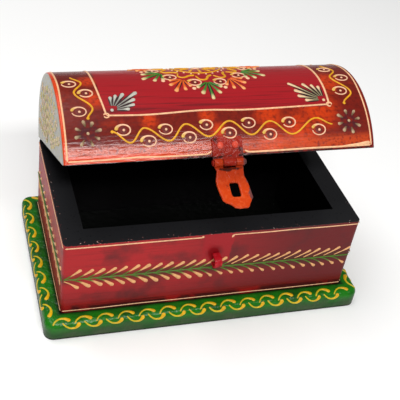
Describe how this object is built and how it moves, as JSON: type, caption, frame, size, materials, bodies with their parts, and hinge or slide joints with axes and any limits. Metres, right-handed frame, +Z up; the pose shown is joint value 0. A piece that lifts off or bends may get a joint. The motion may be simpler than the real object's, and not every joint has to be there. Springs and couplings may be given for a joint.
{
  "type": "hand-painted wooden box",
  "caption": "Small wooden keepsake box on a green plinth, with a hinged barrel lid, an iron hasp and staple, and red sides painted by hand with vines, rings and a garland.",
  "frame": {"origin": "middle of the plinth's underside", "axes": "+X to the box's right, along its length; -Y to the front with the hasp; +Z up"},
  "size_m": [0.222, 0.1436, 0.1488],
  "materials": {
    "painted_wood_red": "varnished hand paint",
    "painted_wood_lid": "varnished hand paint",
    "painted_wood_green": "varnished hand paint",
    "painted_iron": "brushed enamel, worn at edges",
    "nail_steel": "drawn wire"
  },
  "bodies": {
    "box": {"plinth": "painted_wood_green", "front_wall": "painted_wood_red", "back_wall": "painted_wood_red", "left_wall": "painted_wood_red", "right_wall": "painted_wood_red", "corner_nails": "nail_steel", "plinth_nails": "nail_steel", "staple": "painted_iron", "hinge_left_box_leaf": "painted_iron", "hinge_left_pin": "painted_iron", "hinge_right_box_leaf": "painted_iron", "hinge_right_pin": "painted_iron", "hinge_box_studs": "painted_iron"},
    "lid": {"lid_stave_1": "painted_wood_lid", "lid_stave_2": "painted_wood_lid", "lid_stave_3": "painted_wood_lid", "lid_stave_4": "painted_wood_lid", "lid_stave_5": "painted_wood_lid", "lid_stave_6": "painted_wood_lid", "lid_stave_7": "painted_wood_lid", "lid_left_end": "painted_wood_lid", "lid_right_end": "painted_wood_lid", "stave_nails": "nail_steel", "hinge_left_lid_leaf": "painted_iron", "hinge_right_lid_leaf": "painted_iron", "hinge_lid_studs": "painted_iron", "hasp_plate": "painted_iron", "hasp_studs": "painted_iron", "hasp_pin": "painted_iron"},
    "hasp": {"hasp_leaf": "painted_iron"}
  },
  "joints": [
    {"name": "lid_hinge", "type": "hinge", "parent": "box", "child": "lid", "pos_m": [0, 0.0596, 0.07215], "axis": [-1, 0, 0], "range_deg": [-26.5, 83.5]},
    {"name": "hasp_hinge", "type": "hinge", "parent": "lid", "child": "hasp", "pos_m": [0, -0.04871, 0.12274], "axis": [-1, 0, 0], "range_deg": [-42, 138]}
  ]
}
